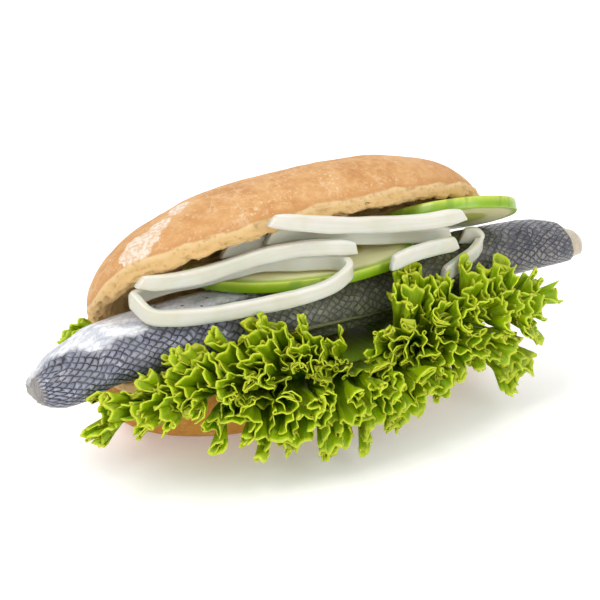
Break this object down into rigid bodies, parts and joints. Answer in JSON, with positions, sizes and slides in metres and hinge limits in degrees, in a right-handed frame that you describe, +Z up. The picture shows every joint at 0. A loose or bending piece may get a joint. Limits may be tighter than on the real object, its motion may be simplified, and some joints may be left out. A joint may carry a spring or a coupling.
{
  "type": "herring roll",
  "caption": "Crusty oblong roll filled with a soused herring fillet that sticks out at both ends, frilled lettuce, cucumber slices and onion strips.",
  "frame": {"origin": "centre of the flat underside of the roll's lower half", "axes": "+X along the roll to the tail end of the herring, -Y to the open front where the lettuce hangs out, +Z up"},
  "size_m": [0.1934, 0.0972, 0.0775],
  "materials": {
    "bread": "baked crust below, open pale crumb on the cut face",
    "crust": "baked crust with traces of flour, pale crumb on the cut face",
    "fish_skin": "wet silvery grey skin with a net of scales",
    "cucumber": "wet pale green flesh with a dark green rind",
    "onion": "moist translucent white",
    "lettuce": "moist bright green leaf"
  },
  "bodies": {
    "root": {"bun_bottom": "bread", "bun_top": "crust", "herring": "fish_skin", "cucumber_front": "cucumber", "cucumber_back": "cucumber", "onion_ring": "onion", "onion_left": "onion", "onion_middle": "onion", "onion_short": "onion", "onion_top": "onion", "onion_right_curl": "onion", "onion_right": "onion", "lettuce_left": "lettuce", "lettuce_right": "lettuce", "lettuce_low_right": "lettuce", "lettuce_front": "lettuce", "lettuce_back_left": "lettuce"}
  },
  "joints": []
}
